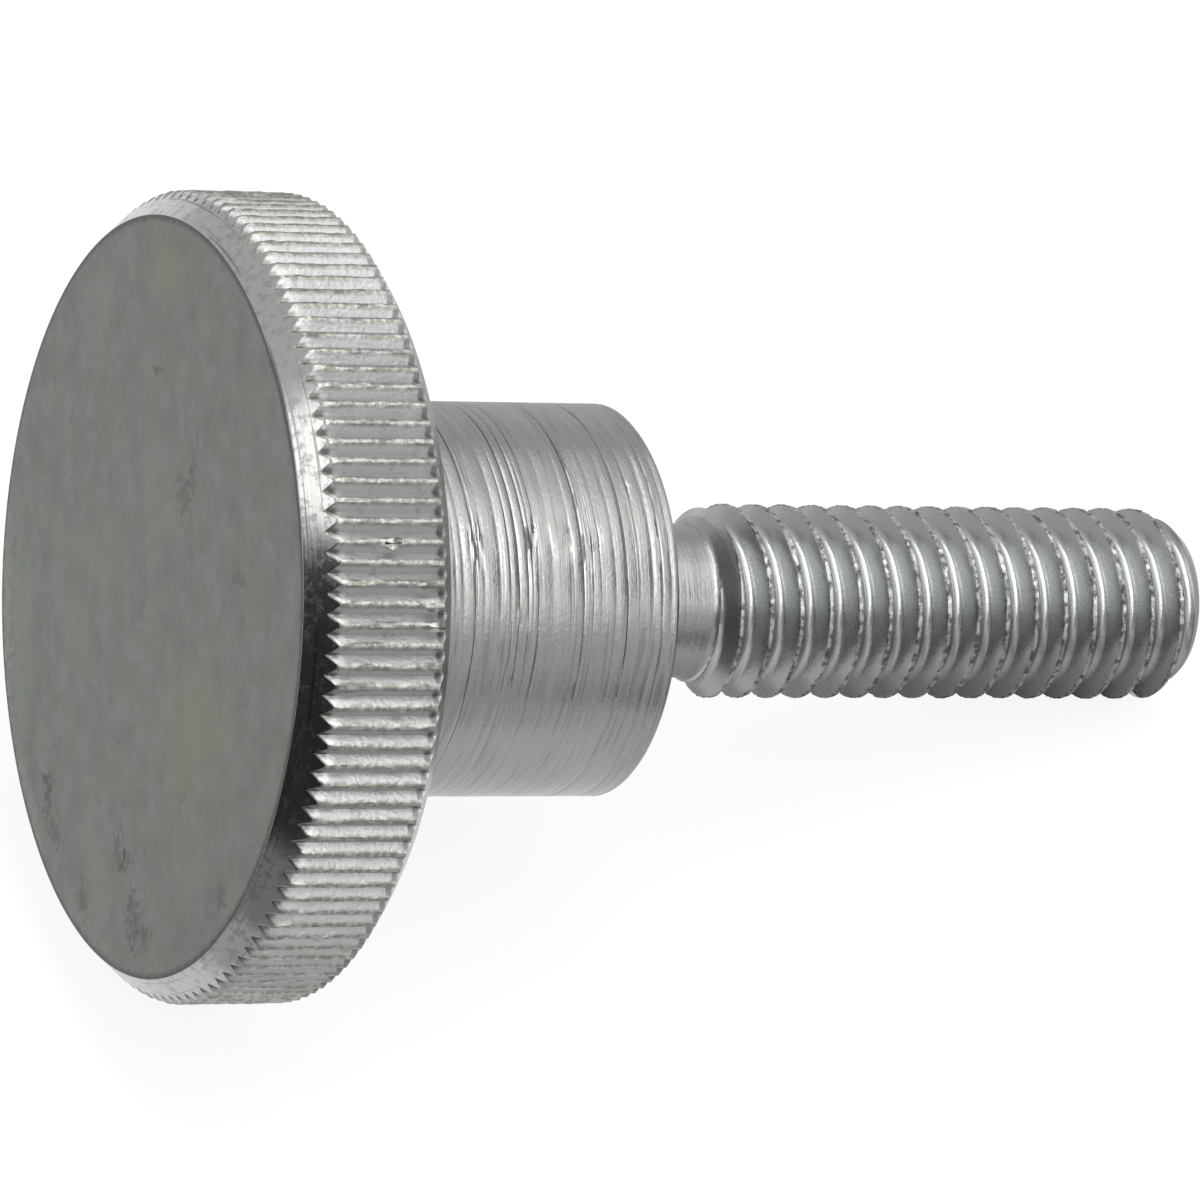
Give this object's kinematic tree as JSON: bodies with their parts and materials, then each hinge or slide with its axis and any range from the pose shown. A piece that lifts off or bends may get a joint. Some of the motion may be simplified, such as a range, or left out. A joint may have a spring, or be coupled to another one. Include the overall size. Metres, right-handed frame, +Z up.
{
  "type": "knurled thumb screw",
  "caption": "Knurled thumb screw turned in one piece: flat chamfered disc with a straight knurl, tall round collar, relieved neck and threaded shank.",
  "frame": {"origin": "on the floor under the middle of the screw's bounding box, as it lies at rest on the corner of its disc and on its tip", "axes": "+X along the lying screw from the disc to the tip, +Z up; the screw's own axis leans 17.26 degrees below +X, and the XZ plane is its plane of symmetry"},
  "size_m": [0.0366, 0.024, 0.0239],
  "materials": {
    "zinc_plated_steel": "bright zinc plate over turned steel, satin on the face, polished chamfers and fine turning lines on the collar"
  },
  "bodies": {
    "root": {"thumb_screw": "zinc_plated_steel"}
  },
  "joints": []
}
